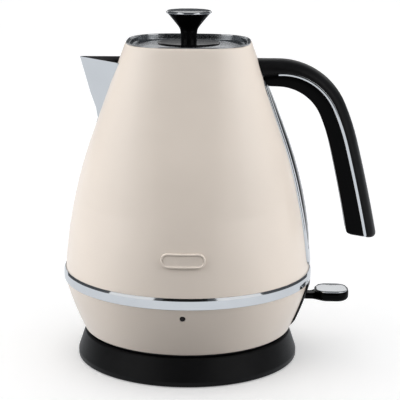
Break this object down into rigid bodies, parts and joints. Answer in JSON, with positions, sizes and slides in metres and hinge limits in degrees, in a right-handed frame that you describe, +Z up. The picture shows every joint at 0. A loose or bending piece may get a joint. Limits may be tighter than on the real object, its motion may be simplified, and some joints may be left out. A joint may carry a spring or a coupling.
{
  "type": "electric kettle",
  "caption": "Cordless electric kettle with a tapered painted body, chrome spout and trim, lift-off lid, open black handle and a round power base.",
  "frame": {"origin": "on the kettle's axis at the underside of the power base's foot ring", "axes": "+Z up, +X towards the handle, -X towards the spout, -Y towards the badge and the lamp"},
  "size_m": [0.2303, 0.1828, 0.255],
  "materials": {
    "cream_paint": "warm off-white satin paint on steel",
    "badge_paint": "satin paint, raised border",
    "chrome": "polished chrome plate",
    "black_plastic": "black moulded plastic, fine satin texture",
    "handle_plastic": "deep black moulded plastic, satin",
    "knob_plastic": "black phenolic, semi-gloss",
    "inner_plastic": "dark heat-proof plastic",
    "light_plastic": "off-white heat-proof plastic",
    "rubber": "black anti-slip rubber",
    "silicone": "grey silicone",
    "plated_steel": "zinc plated steel",
    "brushed_steel": "bare stainless steel",
    "aluminium": "cast aluminium",
    "brass": "bare brass",
    "smoked_window": "smoked clear plastic",
    "lamp_lens": "dark red translucent lens, unlit"
  },
  "bodies": {
    "power_base": {"base_housing": "black_plastic", "base_bottom_plate": "black_plastic", "base_foot_ring": "rubber", "base_screws": "plated_steel", "base_connector": "black_plastic", "base_contacts": "brass", "cord_gland": "rubber"},
    "turning_contacts": {"contact_rings": "brass", "contact_carrier": "inner_plastic"},
    "kettle": {"body_shell": "cream_paint", "rim_ring": "chrome", "trim_ring": "chrome", "skirt": "cream_paint", "chassis": "inner_plastic", "bottom_cover": "black_plastic", "bottom_screws": "plated_steel", "connector_socket": "inner_plastic", "control_housing": "light_plastic", "bimetal_discs": "brass", "heating_element": "plated_steel", "heat_spreader": "aluminium", "floor_plate": "brushed_steel", "steam_tube": "brushed_steel", "spout": "chrome", "handle_rail": "handle_plastic", "handle_web": "handle_plastic", "handle_stripes": "chrome", "handle_bracket": "plated_steel", "handle_screws": "plated_steel", "gauge_bezel": "chrome", "gauge_window": "smoked_window", "gauge_seal": "silicone", "rear_panel": "black_plastic", "badge": "badge_paint", "lamp_lens": "lamp_lens", "lamp_holder": "light_plastic", "lever_pin": "plated_steel", "toggle_pin": "plated_steel"},
    "lid": {"lid_dish": "chrome", "lid_liner": "brushed_steel", "lid_seal": "silicone", "knob_disc": "knob_plastic", "knob": "knob_plastic", "knob_cap": "chrome", "knob_screw": "plated_steel"},
    "lever": {"switch_lever": "black_plastic", "lever_cap": "chrome"},
    "toggle": {"control_toggle": "light_plastic"},
    "filter": {"filter_frame": "light_plastic", "filter_mesh": "brushed_steel"}
  },
  "joints": [
    {"name": "kettle_lift", "type": "slide", "parent": "power_base", "child": "turning_contacts", "axis": [0, 0, 1], "range_m": [0, 0.06]},
    {"name": "kettle_swivel", "type": "hinge", "parent": "turning_contacts", "child": "kettle", "pos_m": [0, 0, 0.035], "axis": [0, 0, 1], "continuous": true},
    {"name": "lid_lift", "type": "slide", "parent": "kettle", "child": "lid", "axis": [0, 0, 1], "range_m": [0, 0.06]},
    {"name": "lever_rock", "type": "hinge", "parent": "kettle", "child": "lever", "pos_m": [0.07427, 0, 0.045], "axis": [0, 1, 0], "range_deg": [0, 12]},
    {"name": "toggle_rock", "type": "hinge", "parent": "kettle", "child": "toggle", "pos_m": [0.046, 0, 0.045], "axis": [0, 1, 0], "range_deg": [-12, 0]},
    {"name": "filter_unclip", "type": "slide", "parent": "kettle", "child": "filter", "axis": [1, 0, 0], "range_m": [0, 0.012]}
  ],
  "couplings": [
    {"joint": "toggle_rock", "follows": "lever_rock", "ratio": -1}
  ]
}
